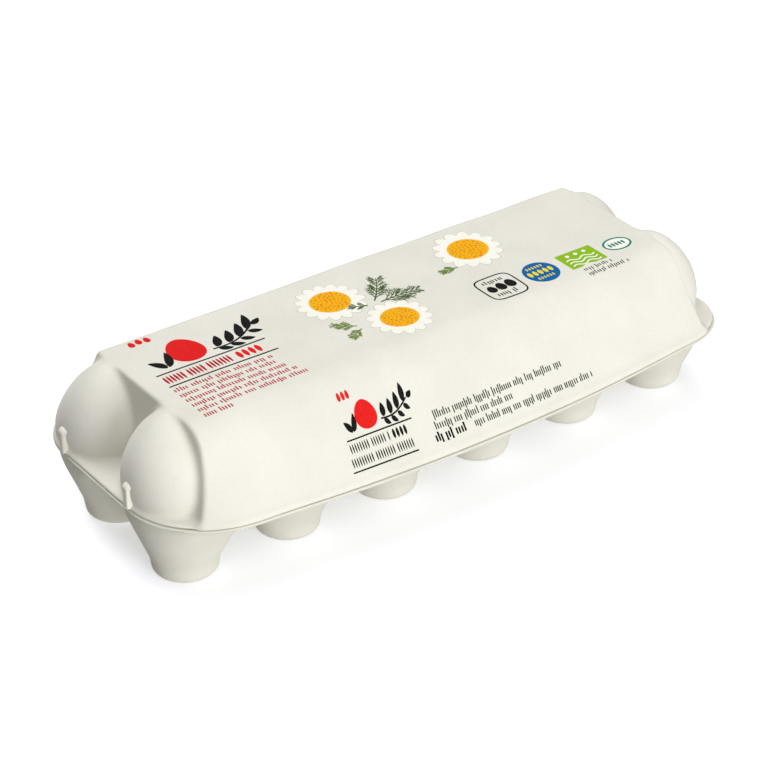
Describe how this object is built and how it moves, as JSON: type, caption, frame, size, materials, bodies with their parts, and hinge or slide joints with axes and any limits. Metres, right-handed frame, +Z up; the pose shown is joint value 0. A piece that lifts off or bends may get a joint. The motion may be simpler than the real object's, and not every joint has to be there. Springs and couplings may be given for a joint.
{
  "type": "egg carton",
  "caption": "Shut moulded-pulp egg carton: flat printed lid with two rounded domes at each end, over a tray of round-footed cups.",
  "frame": {"origin": "on the ground under the middle of the carton's bounding box", "axes": "+X along the carton, +Z up, and the bowed front with the print faces -Y"},
  "size_m": [0.2906, 0.1266, 0.07],
  "materials": {
    "lid_pulp": "matte off-white moulded pulp with a smooth pressed face, printed in a few flat colours",
    "tray_pulp": "matte off-white moulded pulp"
  },
  "bodies": {
    "root": {"lid": "lid_pulp", "tray": "tray_pulp"}
  },
  "joints": []
}
